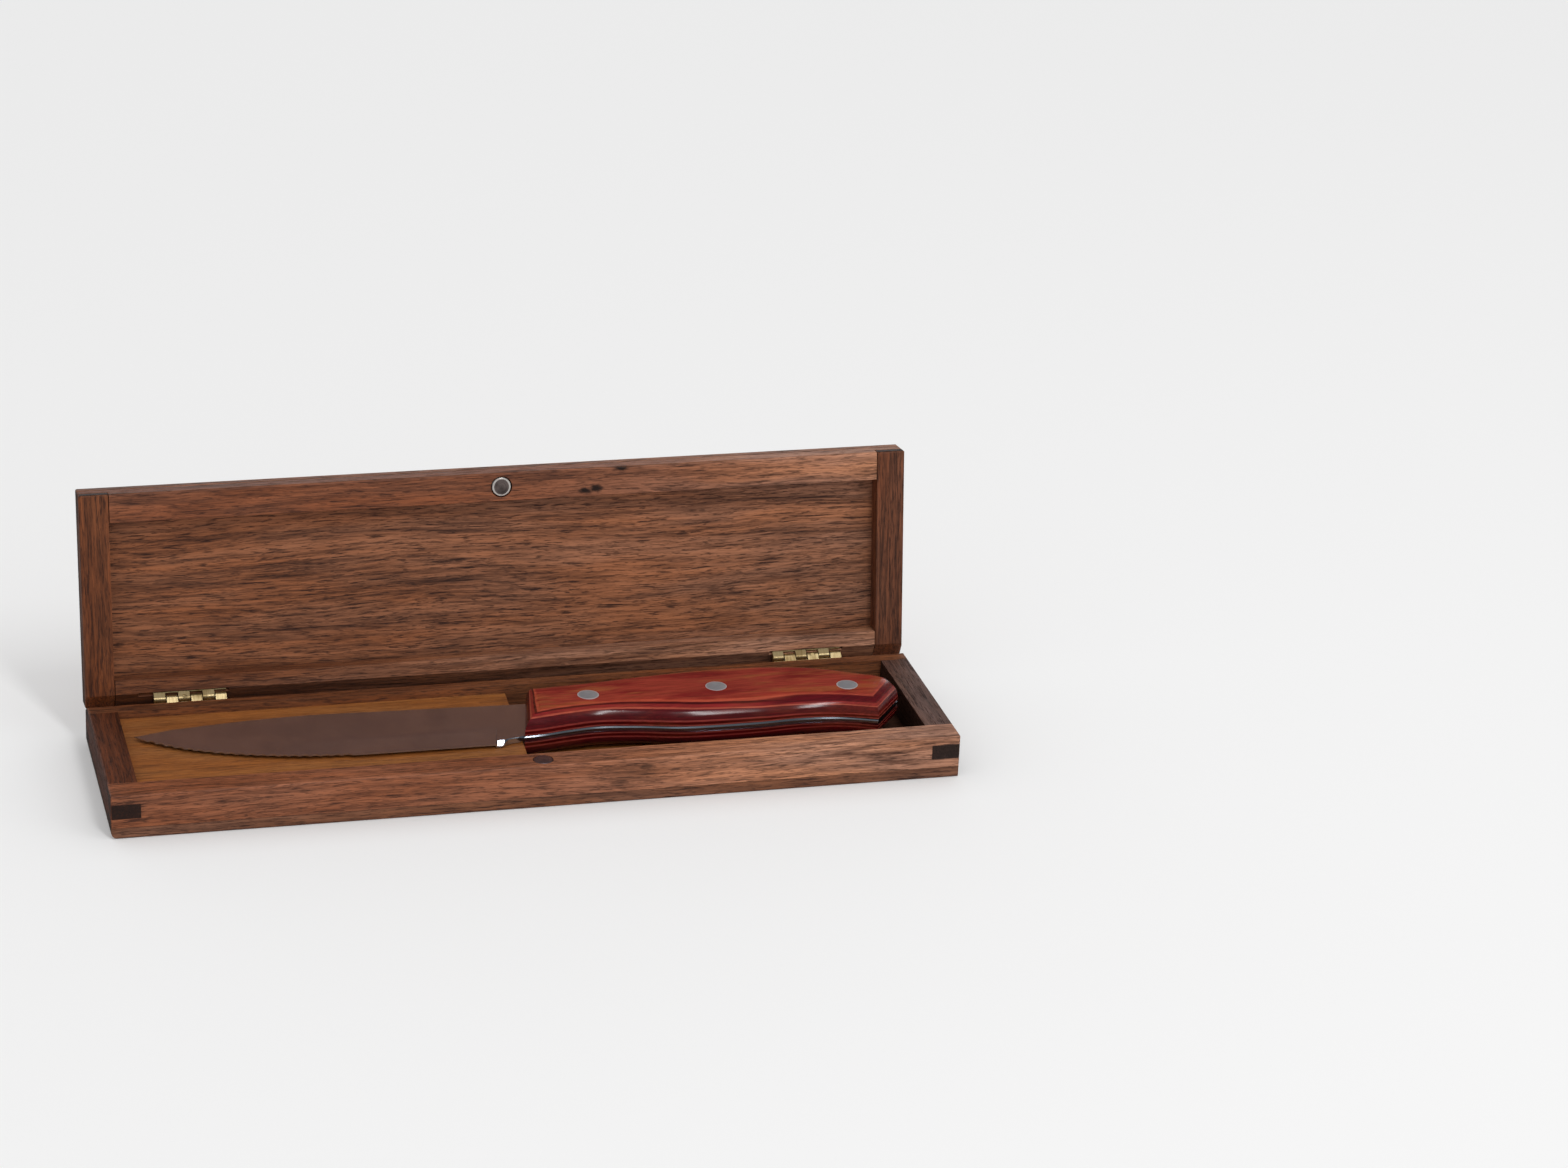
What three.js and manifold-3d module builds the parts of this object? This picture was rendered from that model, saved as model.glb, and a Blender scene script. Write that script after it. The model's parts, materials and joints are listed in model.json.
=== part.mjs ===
// Knife display case: a shallow walnut box with a hinged lid, standing open, and the serrated knife it holds.
// Millimetres. +X runs right along the case, +Y to the hinge side, +Z up.
// The origin is the middle of the case's underside.

import * as THREE from 'three';
import { mergeVertices } from 'three/addons/utils/BufferGeometryUtils.js';
import Module from 'manifold-3d';

const wasm = await Module();
wasm.setup();

// Case: outer size, board and rail sections, corner fingers
const caseLength = 280;
const caseDepth = 73;
const railThickness = 9.6;
const boardThickness = 3.8;
const baseLowerFinger = 3.05;
const baseKey = 5.1;
const baseUpperFinger = 3.05;
const lidRimFinger = 3.05;
const lidBoardFinger = 3.15;
const lidGlueLine = 0.25;
const easedEdge = 0.7;
const wornCorner = 2.5;

// Lid seat and hinge groove
const rimGap = 0.3;
const lidOpenAngle = 98;
const grooveDepth = 4.8;
const grooveRise = 3.05;

// Hinges
const hingeLength = 24;
const hingeInset = 22.3;
const barrelDiameter = 2.7;
const barrelClearance = 0.08;
const knuckleCount = 6;
const knuckleGap = 0.28;
const leafThickness = 0.8;
const leafReach = 7.5;
const leafStart = 1.7;
const pinClearance = 0.15;
const kerfSideClearance = 0.35;
const kerfFloorClearance = 0.4;
const kerfRunOut = 1;
const kerfLongRunOut = 5;
const dimpleDiameter = 1.4;
const dimpleDepth = 0.3;

// Magnets
const magnetX = 0;
const magnetDiameter = 6.35;
const magnetThickness = 3;
const magnetEdge = 0.35;
const baseMagnetFit = 0.15;
const lidMagnetFit = 0.4;
const magnetSeat = 0.3;

// Blade block: top below the rim, lower bed under the handle, both measured along X from the blade's end
const blockBelowRim = 2.5;
const blockFit = 0.2;
const blockCutFront = -3.4;
const blockCutRear = -1;
const bedEnd = 95;
const bedFront = -9;
const bedRear = 13;
const knifeRestGap = 0.2;

// Knife: its room in the case, from the rails' inner faces
const tipGap = 3.2;
const buttGap = 3.2;

// Knife: blade and tang plate, drawn from the blade's end at x = 0, with the tip's side measured from the tip
const plateThickness = 2.2;
const edgeThickness = 0.3;
const groundWidth = 10.5;
const groundRunIn = 60;
const serrationPitch = 3.42;
const serrationDepth = 0.9;
const serrationStart = 5.4;
const plainHeel = 45.5;
const tipHeight = 9.1;
const bellyFromTip = [74.6, -16];
const edgeHandlesFromTip = [[11.8, -5.4], [41, -16]];
const spinePeakFromTip = [62.5, 14.7];
const spineHandlesFromTip = [[41.4, 15.4], [16, 10.8]];
const plunge = [-12.6, -16.1];
const plungeFoot = [-11.8, -16.1];
const heel = [-9.7, -16];
const choil = [[-8.2, -14.5], [-4.5, -13.7]];

// Knife: handle scales, their outline at the tang and the narrower one at the top face
const scaleThickness = 6.8;
const rivetDiameter = 7.2;
const rivetFit = 0.1;
const rivetPlaces = { front_rivet: [21.8, 1.1], middle_rivet: [65.4, 0.9], rear_rivet: [109.2, -5] };
const gripOutline = {
  front: [[-2.3, -13.1], [5, -12.4], [14, -10.7], [24, -9.7], [36.8, -11.4], [48.1, -13.9], [58, -14.9],
    [76.8, -15], [90.8, -14.2], [104.3, -15.4], [116.4, -19.4]],
  butt: [127.2, -5],
  rear: [[126.6, 0], [122.2, 3.9], [117.6, 6.1], [103, 13.2], [85, 16.6], [66.5, 17.4], [44.2, 15.7],
    [25, 13.2], [2.9, 11.8]],
};
const faceOutline = {
  front: [[3.6, -8], [10.5, -5.5], [17.9, -4.5], [25, -4.2], [36, -4.6], [48, -6.8], [58, -8.4],
    [76, -8.5], [91, -6.9], [104, -8.8], [115.4, -12.2]],
  butt: [122.3, -2.1],
  rear: [[121.6, 0.2], [119.8, 1.5], [115.8, 3.4], [102, 10.3], [84.7, 13.8], [66.5, 14.7], [44.2, 13],
    [25, 10.6], [5.4, 9.2]],
};
// Share of the way from the tang outline to the face outline, at shares of the scale's thickness
const sideProfile = [[0, 0], [0.35, 0.04], [0.6, 0.17], [0.78, 0.36], [0.92, 0.62], [1, 1]];

// Fineness of round stretches
const cornerSegments = 5;
const circleSegments = 40;
const barrelSegments = 24;
const magnetEdgeSegments = 2;
const frontEdgeSegments = 40;
const rearEdgeSegments = 26;
const spineSegments = 16;
const serrationSegments = 5;
const plainEdgeSegments = 6;

// Places that follow from the sizes
const halfLength = caseLength / 2;
const halfDepth = caseDepth / 2;
const innerHalfLength = halfLength - railThickness;
const innerHalfDepth = halfDepth - railThickness;
const keyBottom = boardThickness + baseLowerFinger;
const keyTop = keyBottom + baseKey;
const baseTop = keyTop + baseUpperFinger;
const lidRim = baseTop + rimGap;
const lidFingerTop = lidRim + lidRimFinger;
const lidFrameTop = lidFingerTop + lidGlueLine + lidBoardFinger;
const lidBoardBottom = lidFrameTop + lidGlueLine;
const lidTop = lidBoardBottom + boardThickness;
const hingeSpacing = caseLength - 2 * hingeInset - hingeLength;
const knifeX = innerHalfLength - buttGap - gripOutline.butt[0];
const tipX = -innerHalfLength + tipGap - knifeX;
const blockTop = baseTop - blockBelowRim;
const plateBottom = blockTop + knifeRestGap;
const bedTop = plateBottom - scaleThickness - knifeRestGap;
const barrelRadius = barrelDiameter / 2;
const grooveAngle = Math.atan2(grooveRise, grooveDepth);
const barrelToWall = barrelRadius + barrelClearance;
const barrelSetBack = (barrelToWall - rimGap / 2 * Math.cos(grooveAngle)) / Math.sin(grooveAngle);
const hingeAxisY = halfDepth - grooveDepth + barrelSetBack;
const hingeAxisZ = baseTop + rimGap / 2;
const magnetPlace = new THREE.Vector2(magnetX, -(halfDepth + innerHalfDepth) / 2);
const pinRadius = barrelRadius - leafThickness - pinClearance;

// Finishes
function finish(color, roughness, metalness = 0) {
  return new THREE.MeshStandardMaterial({ color, roughness, metalness });
}
const walnut = finish(0x7a4f3c, 0.55);
const darkWalnut = finish(0x5a3a2e, 0.55);
const paleBlock = finish(0x82552a, 0.6);
const brass = finish(0xd9c28c, 0.3, 1);
const magnetSteel = finish(0x8c8782, 0.35, 1);
const bladeSteel = finish(0x6b625e, 0.45, 1);
const redLaminate = finish(0x8a3428, 0.25);
const rivetSteel = finish(0x8f8580, 0.35, 1);

// Solids: joined and cut pieces, and the meshes they become
function solidOf(geometry) {
  const bare = geometry.clone();
  bare.deleteAttribute('normal');
  bare.deleteAttribute('uv');
  const merged = mergeVertices(bare, 1e-5);
  return new wasm.Manifold(new wasm.Mesh({
    numProp: 3,
    vertProperties: merged.attributes.position.array,
    triVerts: Uint32Array.from(merged.index.array),
  }));
}

function geometryOf(solid) {
  const mesh = solid.getMesh();
  const geometry = new THREE.BufferGeometry();
  geometry.setAttribute('position', new THREE.BufferAttribute(mesh.vertProperties, 3));
  geometry.setIndex(new THREE.BufferAttribute(mesh.triVerts, 1));
  geometry.computeVertexNormals();
  return geometry;
}

function piece(name, solid, material) {
  const mesh = new THREE.Mesh(geometryOf(solid), material);
  mesh.name = name;
  return mesh;
}

// Views: a shape drawn in plan, in front elevation (X, Z) or in end elevation (Y, Z)
const axisX = new THREE.Vector3(1, 0, 0);
const axisY = new THREE.Vector3(0, 1, 0);
const axisZ = new THREE.Vector3(0, 0, 1);
const plan = new THREE.Matrix4();
const frontElevation = new THREE.Matrix4().makeBasis(axisX, axisZ, axisY.clone().negate());
const endElevation = new THREE.Matrix4().makeBasis(axisY, axisZ, axisX);

// How far a cutting tool runs past what it cuts
const overshoot = 1;

// Shared shapes
function block(x, y, z) {
  const geometry = new THREE.BoxGeometry(x[1] - x[0], y[1] - y[0], z[1] - z[0]);
  geometry.translate((x[0] + x[1]) / 2, (y[0] + y[1]) / 2, (z[0] + z[1]) / 2);
  return solidOf(geometry);
}

function prism(shape, from, to, view) {
  const geometry = new THREE.ExtrudeGeometry(shape, {
    depth: to - from,
    bevelEnabled: false,
    curveSegments: cornerSegments,
  });
  geometry.translate(0, 0, from);
  geometry.applyMatrix4(view);
  return solidOf(geometry);
}

function drum(centre, radius, bottom, top) {
  const geometry = new THREE.CylinderGeometry(radius, radius, top - bottom, circleSegments);
  geometry.rotateX(Math.PI / 2);
  geometry.translate(centre.x, centre.y, (bottom + top) / 2);
  return solidOf(geometry);
}

function at([x, y]) {
  return new THREE.Vector2(x, y);
}

function polygon(points) {
  return new THREE.Shape(points.map(at));
}

// The stretch between two distances from the middle, on the side given by -1 or 1
function stretch(side, inner, outer) {
  return side < 0 ? [-outer, -inner] : [inner, outer];
}

// A rectangle with rounded corners, radii in the order bottom left, bottom right, top right, top left
function easedRectangle(left, right, bottom, top, radii) {
  const [lowLeft, lowRight, highRight, highLeft] = radii;
  const quarter = Math.PI / 2;
  const shape = new THREE.Shape();
  shape.absarc(left + lowLeft, bottom + lowLeft, lowLeft, 2 * quarter, 3 * quarter);
  shape.absarc(right - lowRight, bottom + lowRight, lowRight, 3 * quarter, 4 * quarter);
  shape.absarc(right - highRight, top - highRight, highRight, 0, quarter);
  shape.absarc(left + highLeft, top - highLeft, highLeft, quarter, 2 * quarter);
  return shape;
}

// The outside of the base or the lid: eased edges all round, and the hinge groove's slope,
// which falls away from the rim toward the hinge side (downward on the base, upward on the lid)
function outside(bottom, top, lowLeftEdge, rim, slopeDirection) {
  const eased = easedEdge;
  const sides = easedRectangle(-halfLength, halfLength, -halfDepth, halfDepth, [eased, eased, eased, eased]);
  const front = easedRectangle(-halfLength, halfLength, bottom, top, [lowLeftEdge, eased, eased, eased]);
  const end = easedRectangle(-halfDepth, halfDepth, bottom, top, [eased, eased, eased, eased]);
  const apex = halfDepth - grooveDepth;
  const farSide = halfDepth + overshoot;
  const slopeEnd = rim + slopeDirection * grooveRise * (farSide - apex) / grooveDepth;
  const clear = rim - slopeDirection * overshoot;
  const groove = polygon([[apex, rim], [farSide, slopeEnd], [farSide, clear], [apex, clear]]);
  return prism(sides, bottom, top, plan)
    .intersect(prism(front, -halfDepth, halfDepth, frontElevation))
    .intersect(prism(end, -halfLength, halfLength, endElevation))
    .subtract(prism(groove, -halfLength - overshoot, halfLength + overshoot, endElevation));
}

const baseOutside = outside(0, baseTop, wornCorner, baseTop, -1);
const lidOutside = outside(lidRim, lidTop, easedEdge, lidRim, 1);

// Hinges: one leaf part, used in the lid as drawn and in the base turned end for end.
// Its own view is u out along the leaf, v across it toward the other leaf, and X along the barrel.
const slant = Math.SQRT1_2;
const leafView = new THREE.Matrix4().makeBasis(
  new THREE.Vector3(0, -slant, slant), new THREE.Vector3(0, -slant, -slant), axisX);
const hingeInLid = new THREE.Matrix4().makeTranslation(0, hingeAxisY, hingeAxisZ);
const endForEnd = new THREE.Matrix4().makeRotationY(Math.PI);
const hingeInBase = hingeInLid.clone().multiply(endForEnd);
const hinges = [
  { side: 'left', x: -hingeSpacing / 2, leftRunOut: kerfLongRunOut, rightRunOut: kerfRunOut },
  { side: 'right', x: hingeSpacing / 2, leftRunOut: kerfRunOut, rightRunOut: kerfRunOut },
];

function slab(u, v, x, place = new THREE.Matrix4()) {
  const geometry = new THREE.BoxGeometry(u[1] - u[0], v[1] - v[0], x[1] - x[0]);
  geometry.translate((u[0] + u[1]) / 2, (v[0] + v[1]) / 2, (x[0] + x[1]) / 2);
  geometry.applyMatrix4(leafView);
  geometry.applyMatrix4(place);
  return solidOf(geometry);
}

function barrel(radius, from, to) {
  const geometry = new THREE.CylinderGeometry(radius, radius, to - from, barrelSegments);
  geometry.rotateZ(Math.PI / 2);
  geometry.translate((from + to) / 2, 0, 0);
  return solidOf(geometry);
}

function dimple(x) {
  const r = dimpleDiameter / 2;
  const geometry = new THREE.CylinderGeometry(r, r, 2 * dimpleDepth, barrelSegments);
  geometry.translate(0, barrelRadius, x);
  geometry.applyMatrix4(leafView);
  return solidOf(geometry);
}

function hingeLeaf(dimpled) {
  const halfHinge = hingeLength / 2;
  const pitch = (hingeLength + knuckleGap) / knuckleCount;
  const across = [barrelRadius - leafThickness, barrelRadius];
  let leaf = slab([leafStart, leafReach], across, [-halfHinge, halfHinge]);
  for (let knuckle = 0; knuckle < knuckleCount; knuckle += 2) {
    const from = -halfHinge + knuckle * pitch;
    const to = from + pitch - knuckleGap;
    leaf = leaf
      .add(barrel(barrelRadius, from, to))
      .add(slab([0, leafStart + overshoot], across, [from, to]));
  }
  leaf = leaf.subtract(barrel(barrelRadius - leafThickness, -halfHinge - overshoot, halfHinge + overshoot));
  if (dimpled) {
    const middleKnuckle = -halfHinge + 2 * pitch + (pitch - knuckleGap) / 2;
    leaf = leaf.subtract(dimple(middleKnuckle));
  }
  return leaf;
}

// The slot a leaf is pressed into, cut past the leaf's ends, most of all at the left hinge's outer end
function hingeKerf(hinge, place, turned) {
  const left = hinge.x - hingeLength / 2 - hinge.leftRunOut;
  const right = hinge.x + hingeLength / 2 + hinge.rightRunOut;
  const x = turned ? [-right, -left] : [left, right];
  const v = [barrelRadius - leafThickness - kerfSideClearance, barrelRadius + kerfSideClearance];
  return slab([leafThickness, leafReach + kerfFloorClearance], v, x, place);
}

// Magnets: a disc with rounded edges, and the pocket drilled for it in the middle of a front rail
function magnetDisc(bottom) {
  const r = magnetDiameter / 2;
  const profile = new THREE.Path();
  profile.moveTo(0, 0);
  profile.lineTo(r - magnetEdge, 0);
  profile.absarc(r - magnetEdge, magnetEdge, magnetEdge, -Math.PI / 2, 0);
  profile.absarc(r - magnetEdge, magnetThickness - magnetEdge, magnetEdge, 0, Math.PI / 2);
  profile.lineTo(0, magnetThickness);
  const geometry = new THREE.LatheGeometry(profile.getPoints(magnetEdgeSegments), circleSegments);
  geometry.rotateX(Math.PI / 2);
  geometry.translate(magnetPlace.x, magnetPlace.y, bottom);
  return solidOf(geometry);
}

function magnetPocket(fit, from, to) {
  return drum(magnetPlace, magnetDiameter / 2 + fit, from, to);
}

// Base: long rails whose end notches take the end rails' keys, end rails, bottom board
function baseLongRail(side) {
  const y = stretch(side, innerHalfDepth, halfDepth);
  const past = stretch(side, innerHalfDepth - overshoot, halfDepth + overshoot);
  let rail = block([-halfLength, halfLength], y, [boardThickness, baseTop]);
  for (const end of [-1, 1]) {
    const x = stretch(end, innerHalfLength, halfLength + overshoot);
    rail = rail.subtract(block(x, past, [keyBottom, keyTop]));
  }
  return rail.intersect(baseOutside);
}

function baseEndRail(side) {
  const x = stretch(side, innerHalfLength, halfLength);
  return block(x, [-innerHalfDepth, innerHalfDepth], [boardThickness, baseTop])
    .add(block(x, [-halfDepth, halfDepth], [keyBottom, keyTop]))
    .intersect(baseOutside);
}

const base = new THREE.Group();
const baseFrontRail = baseLongRail(-1)
  .subtract(magnetPocket(baseMagnetFit, baseTop - magnetThickness - magnetSeat, baseTop + overshoot));
const baseRearRail = hinges.reduce(
  (rail, hinge) => rail.subtract(hingeKerf(hinge, hingeInBase, true)), baseLongRail(1));
const bottomBoard = block([-halfLength, halfLength], [-halfDepth, halfDepth], [0, boardThickness])
  .intersect(baseOutside);
base.add(
  piece('base_front_rail', baseFrontRail, walnut),
  piece('base_rear_rail', baseRearRail, darkWalnut),
  piece('base_left_rail', baseEndRail(-1), darkWalnut),
  piece('base_right_rail', baseEndRail(1), darkWalnut),
  piece('base_bottom_board', bottomBoard, walnut),
  piece('base_magnet', magnetDisc(baseTop - magnetThickness), magnetSteel),
);

// Blade block: fills the left of the base up to a slightly slanting cut, with a lower bed under the handle
const blockLeft = -innerHalfLength + blockFit;
const blockHalfDepth = innerHalfDepth - blockFit;
const blockPlan = polygon([
  [blockLeft, -blockHalfDepth],
  [knifeX + blockCutFront, -blockHalfDepth],
  [knifeX + blockCutRear, blockHalfDepth],
  [blockLeft, blockHalfDepth],
]);
const bedX = [knifeX + blockCutFront - overshoot, knifeX + bedEnd];
const bladeBlock = prism(blockPlan, boardThickness, blockTop, plan)
  .add(block(bedX, [bedFront, bedRear], [boardThickness, bedTop]));
base.add(piece('blade_block', bladeBlock, paleBlock));

// Lid, drawn closed: end rails run through at the rim, long rails run through against the board
function lidLongRail(side) {
  const y = stretch(side, innerHalfDepth, halfDepth);
  const between = innerHalfLength - lidGlueLine;
  return block([-between, between], y, [lidRim, lidFrameTop])
    .add(block([-halfLength, halfLength], y, [lidFingerTop + lidGlueLine, lidFrameTop]))
    .intersect(lidOutside);
}

function lidEndRail(side) {
  const x = stretch(side, innerHalfLength, halfLength);
  const between = innerHalfDepth - lidGlueLine;
  return block(x, [-between, between], [lidRim, lidFrameTop])
    .add(block(x, [-halfDepth, halfDepth], [lidRim, lidFingerTop]))
    .intersect(lidOutside);
}

const lidFrontRail = lidLongRail(-1)
  .subtract(magnetPocket(lidMagnetFit, lidRim - overshoot, lidRim + magnetThickness + magnetSeat));
const lidRearRail = hinges.reduce(
  (rail, hinge) => rail.subtract(hingeKerf(hinge, hingeInLid, false)), lidLongRail(1));
const lidBoard = block([-halfLength, halfLength], [-halfDepth, halfDepth], [lidBoardBottom, lidTop])
  .intersect(lidOutside);
const closedLid = new THREE.Group();
closedLid.position.set(0, -hingeAxisY, -hingeAxisZ);
closedLid.add(
  piece('lid_front_rail', lidFrontRail, walnut),
  piece('lid_rear_rail', lidRearRail, walnut),
  piece('lid_left_rail', lidEndRail(-1), darkWalnut),
  piece('lid_right_rail', lidEndRail(1), darkWalnut),
  piece('lid_board', lidBoard, walnut),
  piece('lid_magnet', magnetDisc(lidRim), magnetSteel),
);

// The lid swings about the hinge axis
const lid = new THREE.Group();
lid.position.set(0, hingeAxisY, hingeAxisZ);
lid.rotation.x = -THREE.MathUtils.degToRad(lidOpenAngle);
lid.add(closedLid);

// Hinge leaves and pins; the dimpled leaf is the lid's at the left and the base's at the right
for (const { side, x } of hinges) {
  const inLid = piece(`${side}_hinge_lid_leaf`, hingeLeaf(side === 'left'), brass);
  inLid.position.x = x;
  lid.add(inLid);
  const inBase = piece(`${side}_hinge_base_leaf`, hingeLeaf(side === 'right'), brass);
  inBase.position.set(x, hingeAxisY, hingeAxisZ);
  inBase.rotation.y = Math.PI;
  const pin = piece(`${side}_hinge_pin`, barrel(pinRadius, -hingeLength / 2, hingeLength / 2), brass);
  pin.position.set(x, hingeAxisY, hingeAxisZ);
  base.add(inBase, pin);
}

// A closed body through rings of points at rising heights, all rings with as many points, anticlockwise
function loft(rings) {
  const count = rings[0].points.length;
  const positions = rings.flatMap(({ points, z }) => points.flatMap((point) => [point.x, point.y, z]));
  const faces = [];
  for (let ring = 0; ring + 1 < rings.length; ring += 1) {
    for (let k = 0; k < count; k += 1) {
      const low = ring * count + k;
      const lowNext = ring * count + (k + 1) % count;
      faces.push(low, lowNext, lowNext + count, low, lowNext + count, low + count);
    }
  }
  const last = (rings.length - 1) * count;
  for (const [a, b, c] of THREE.ShapeUtils.triangulateShape(rings[0].points, [])) {
    faces.push(c, b, a);
  }
  for (const [a, b, c] of THREE.ShapeUtils.triangulateShape(rings[rings.length - 1].points, [])) {
    faces.push(last + a, last + b, last + c);
  }
  const geometry = new THREE.BufferGeometry();
  geometry.setAttribute('position', new THREE.Float32BufferAttribute(positions, 3));
  geometry.setIndex(faces);
  return solidOf(geometry);
}

// Handle outline at a share of the way from the tang to the top face, anticlockwise from the heel
function handleOutline(outline) {
  return [
    ...new THREE.SplineCurve(outline.front.map(at)).getPoints(frontEdgeSegments),
    at(outline.butt),
    ...new THREE.SplineCurve(outline.rear.map(at)).getPoints(rearEdgeSegments),
  ];
}
const grip = handleOutline(gripOutline);
const face = handleOutline(faceOutline);

function scale(tangSide, direction) {
  const rings = sideProfile.map(([rise, share]) => ({
    z: tangSide + direction * rise * scaleThickness,
    points: grip.map((point, k) => point.clone().lerp(face[k], share)),
  }));
  const body = loft(direction < 0 ? rings.reverse() : rings);
  return drillRivets(body, Math.min(...rings.map(({ z }) => z)), Math.max(...rings.map(({ z }) => z)));
}

function drillRivets(body, bottom, top) {
  const holes = Object.values(rivetPlaces).map(
    (place) => drum(at(place), rivetDiameter / 2 + rivetFit, bottom - overshoot, top + overshoot));
  return holes.reduce((drilled, hole) => drilled.subtract(hole), body);
}

function fromTip([x, y]) {
  return new THREE.Vector2(tipX + x, y);
}
const tip = fromTip([0, tipHeight]);
const belly = fromTip(bellyFromTip);
const spinePeak = fromTip(spinePeakFromTip);

// Cutting edge from the tip to the end of the grind: each sample with its direction into the blade
function edgeSamples() {
  const edge = new THREE.CurvePath();
  edge.add(new THREE.CubicBezierCurve(tip, ...edgeHandlesFromTip.map(fromTip), belly));
  edge.add(new THREE.LineCurve(belly, at(plunge)));
  const length = edge.getLength();
  const serrationCount = Math.floor((length - serrationStart - plainHeel) / serrationPitch);
  const serrated = serrationCount * serrationPitch;
  const stops = [];
  for (let k = 0; k < plainEdgeSegments; k += 1) {
    stops.push({ along: serrationStart * k / plainEdgeSegments, bite: 0 });
  }
  for (let k = 0; k < serrationCount * serrationSegments; k += 1) {
    const bite = serrationDepth * Math.sin(Math.PI * (k % serrationSegments) / serrationSegments);
    stops.push({ along: serrationStart + serrated * k / (serrationCount * serrationSegments), bite });
  }
  const tail = length - serrationStart - serrated;
  for (let k = 0; k <= plainEdgeSegments; k += 1) {
    stops.push({ along: serrationStart + serrated + tail * k / plainEdgeSegments, bite: 0 });
  }
  return stops.map(({ along, bite }) => {
    const place = Math.min(along / length, 1);
    const tangent = edge.getTangentAt(place);
    const inward = new THREE.Vector2(-tangent.y, tangent.x);
    return { point: edge.getPointAt(place), inward, bite, along };
  });
}

const samples = edgeSamples();
const groundLine = samples.map(({ point, inward, along }) => {
  const width = groundWidth * Math.sin(Math.PI / 2 * Math.min(along / groundRunIn, 1));
  return point.clone().addScaledVector(inward, width);
});
const cuttingLine = samples.map(({ point, inward, bite }) => point.clone().addScaledVector(inward, bite));
const spine = new THREE.CubicBezierCurve(spinePeak, ...spineHandlesFromTip.map(fromTip), tip);
const plateBack = [plungeFoot, heel, ...choil].map(at).concat(grip, spine.getPoints(spineSegments).slice(0, -1));

function plateRing(z, line) {
  return { z, points: [...line, ...plateBack] };
}
const plate = loft([
  plateRing(0, groundLine),
  plateRing((plateThickness - edgeThickness) / 2, cuttingLine),
  plateRing((plateThickness + edgeThickness) / 2, cuttingLine),
  plateRing(plateThickness, groundLine),
]);

// Knife, lying on the block
const knife = new THREE.Group();
knife.position.set(knifeX, 0, plateBottom);
knife.add(
  piece('knife_blade', drillRivets(plate, 0, plateThickness), bladeSteel),
  piece('upper_scale', scale(plateThickness, 1), redLaminate),
  piece('lower_scale', scale(0, -1), redLaminate),
);
for (const [name, place] of Object.entries(rivetPlaces)) {
  const rivet = drum(at(place), rivetDiameter / 2, -scaleThickness, plateThickness + scaleThickness);
  knife.add(piece(name, rivet, rivetSteel));
}

const knifeDisplayCase = new THREE.Group();
knifeDisplayCase.add(base, lid, knife);

export default knifeDisplayCase;
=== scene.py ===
import json
import math

import bmesh
import bpy
import numpy as np
from mathutils import Euler, Matrix, Vector


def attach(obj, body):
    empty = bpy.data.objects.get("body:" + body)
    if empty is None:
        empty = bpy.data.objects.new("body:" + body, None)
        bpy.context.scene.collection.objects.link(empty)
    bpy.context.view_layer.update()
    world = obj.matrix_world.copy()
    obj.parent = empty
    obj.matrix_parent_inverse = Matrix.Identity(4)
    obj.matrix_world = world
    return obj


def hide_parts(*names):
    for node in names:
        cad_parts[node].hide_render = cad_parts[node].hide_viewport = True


# Knife display case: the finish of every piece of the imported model, in metres, in the model's own frame.
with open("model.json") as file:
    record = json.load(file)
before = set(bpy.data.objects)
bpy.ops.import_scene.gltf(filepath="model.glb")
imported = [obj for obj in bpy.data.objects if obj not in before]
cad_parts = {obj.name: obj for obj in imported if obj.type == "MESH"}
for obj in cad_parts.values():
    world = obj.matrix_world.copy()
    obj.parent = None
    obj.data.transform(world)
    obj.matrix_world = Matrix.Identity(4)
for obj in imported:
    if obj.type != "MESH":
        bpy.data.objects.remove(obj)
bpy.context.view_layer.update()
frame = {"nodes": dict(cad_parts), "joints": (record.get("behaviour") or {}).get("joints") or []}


# Camera: stands in front of the case, a little to its left and well above it.
# Its long lens looks down on the knife, so the case's edges stay nearly parallel.
def place_camera(eye, yaw, pitch, roll, lens):
    """The view is +Y turned right by yaw and down by pitch, in degrees; roll turns the picture."""
    turn = Euler((math.radians(90 - pitch), 0, -math.radians(yaw))).to_matrix()
    turn = turn @ Matrix.Rotation(math.radians(roll), 3, "Z")
    camera = bpy.data.cameras.new("camera")
    camera.sensor_width = 36
    camera.lens = lens
    camera.clip_start = 0.05
    stand = bpy.data.objects.new("camera", camera)
    stand.matrix_world = Matrix.Translation(eye) @ turn.to_4x4()
    bpy.context.scene.collection.objects.link(stand)
    bpy.context.scene.camera = stand


place_camera(eye=(-0.269305, -1.274325, 0.615750), yaw=15.624, pitch=22.869, roll=2.615, lens=99.445)


# Floor and light: a pale table in a bright studio. A high lamp in front draws the highlights on the handle,
# a broad one at the right lifts the long rails, and a lit backdrop gives the sheen on what faces up.
def srgb(red, green, blue):
    """A colour as it is seen, 0 to 255, turned into the light that it stands for."""
    share = np.array([red, green, blue]) / 255
    light = np.where(share <= 0.04045, share / 12.92, ((share + 0.055) / 1.055) ** 2.4)
    return tuple(float(part) for part in light) + (1.0,)


def node(tree, kind, *feeds, **settings):
    """One shader node, its inputs fed in order: a socket is linked, a value is set, None is skipped."""
    made = tree.nodes.new(kind)
    for name, value in settings.items():
        setattr(made, name, value)
    for socket, feed in zip(made.inputs, feeds):
        if isinstance(feed, bpy.types.NodeSocket):
            tree.links.new(feed, socket)
        elif feed is not None:
            socket.default_value = feed
    return made


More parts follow.
